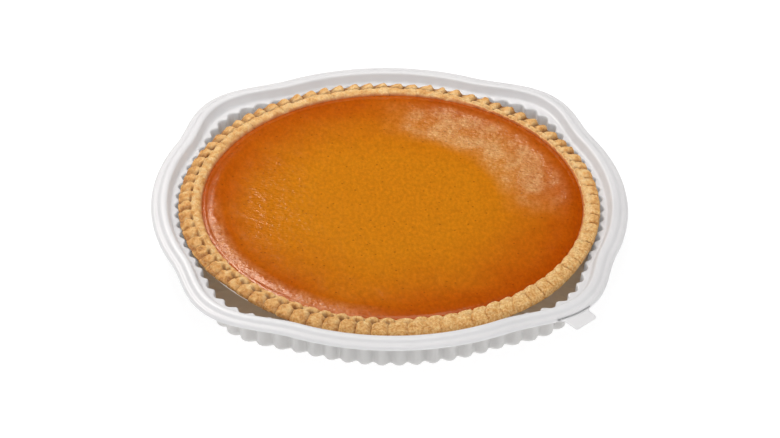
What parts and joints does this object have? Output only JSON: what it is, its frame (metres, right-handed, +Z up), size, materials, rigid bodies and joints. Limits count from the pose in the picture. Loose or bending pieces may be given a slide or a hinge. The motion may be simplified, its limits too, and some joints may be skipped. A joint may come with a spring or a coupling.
{
  "type": "pumpkin pie",
  "caption": "Round baked pumpkin pie with a crimped pastry rim in a thin foil pan, standing in a white fluted plastic tray with four lobes and a pull tab.",
  "frame": {"origin": "middle of the tray's flat underside, on the surface that it stands on", "axes": "+Z up; the tray's four lobes point along the diagonals of X and Y, and its pull tab is near the lobe between +X and -Y, at the front right"},
  "size_m": [0.346, 0.346, 0.0347],
  "materials": {
    "tray_plastic": "thermoformed white plastic sheet, satin",
    "pan_foil": "thin pressed foil, bright",
    "baked_pastry": "golden baked shortcrust, matte",
    "pumpkin_custard": "baked pumpkin custard with a soft sheen"
  },
  "bodies": {
    "root": {"tray": "tray_plastic", "foil_pan": "pan_foil", "crust": "baked_pastry", "filling": "pumpkin_custard"}
  },
  "joints": []
}
